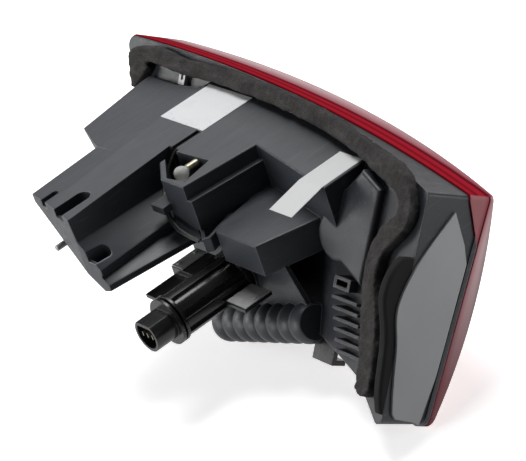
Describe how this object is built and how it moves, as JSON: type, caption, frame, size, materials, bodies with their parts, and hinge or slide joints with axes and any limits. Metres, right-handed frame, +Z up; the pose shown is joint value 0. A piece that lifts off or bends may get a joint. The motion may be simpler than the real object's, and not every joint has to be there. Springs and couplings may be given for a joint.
{
  "type": "car tail light cluster",
  "caption": "Wrap-round car tail light cluster seen from its body side: red lens on a black moulded housing with foam gasket, slotted fixing arm, stud and a fluted plug-in bulb carrier.",
  "frame": {"origin": "on the fixing stud's axis at the outer face of its nut, where the body panel seats", "axes": "+X along the lamp to its tall inboard end, +Y the way the lens faces, -Y along the stud into the car, +Z up as mounted"},
  "size_m": [0.4419, 0.2521, 0.1786],
  "materials": {
    "housing_plastic": "satin moulded black, dusty on top",
    "red_lens": "clear polished red",
    "foam": "worn open foam with dust",
    "grey_trim": "smooth grey",
    "black_rubber": "matte",
    "bright_metal": "metallised",
    "carrier_plastic": "glossy black",
    "bulb_brass": "dull",
    "bulb_glass": "clear",
    "plain_steel": "dull plated",
    "wire_sleeve": "black sleeve",
    "label_paper": "bare white, lightly soiled"
  },
  "bodies": {
    "root": {"rear_housing": "housing_plastic", "outer_lens": "red_lens", "foam_gasket": "foam", "end_trim_panel": "grey_trim", "groove_lip": "black_rubber", "reflector": "bright_metal", "stop_socket": "carrier_plastic", "stop_bulb_cap": "bulb_brass", "stop_bulb_glass": "bulb_glass", "turn_socket": "carrier_plastic", "turn_bulb_cap": "bulb_brass", "turn_bulb_glass": "bulb_glass", "reverse_socket": "carrier_plastic", "reverse_bulb_cap": "bulb_brass", "reverse_bulb_glass": "bulb_glass", "bulb_carrier": "carrier_plastic", "carrier_seal": "black_rubber", "connector_pins": "bulb_brass", "contact_strip_left": "plain_steel", "contact_strip_right": "plain_steel", "contact_rivets": "plain_steel", "side_bulb_glass": "bulb_glass", "side_bulb_cap": "bulb_brass", "lead_pair": "wire_sleeve", "fixing_stud": "plain_steel", "stud_nut": "plain_steel", "stud_washer": "plain_steel", "label_square": "label_paper", "label_strip": "label_paper", "retaining_foot": "carrier_plastic", "edge_clip": "plain_steel", "gallery_plug": "black_rubber"}
  },
  "joints": []
}
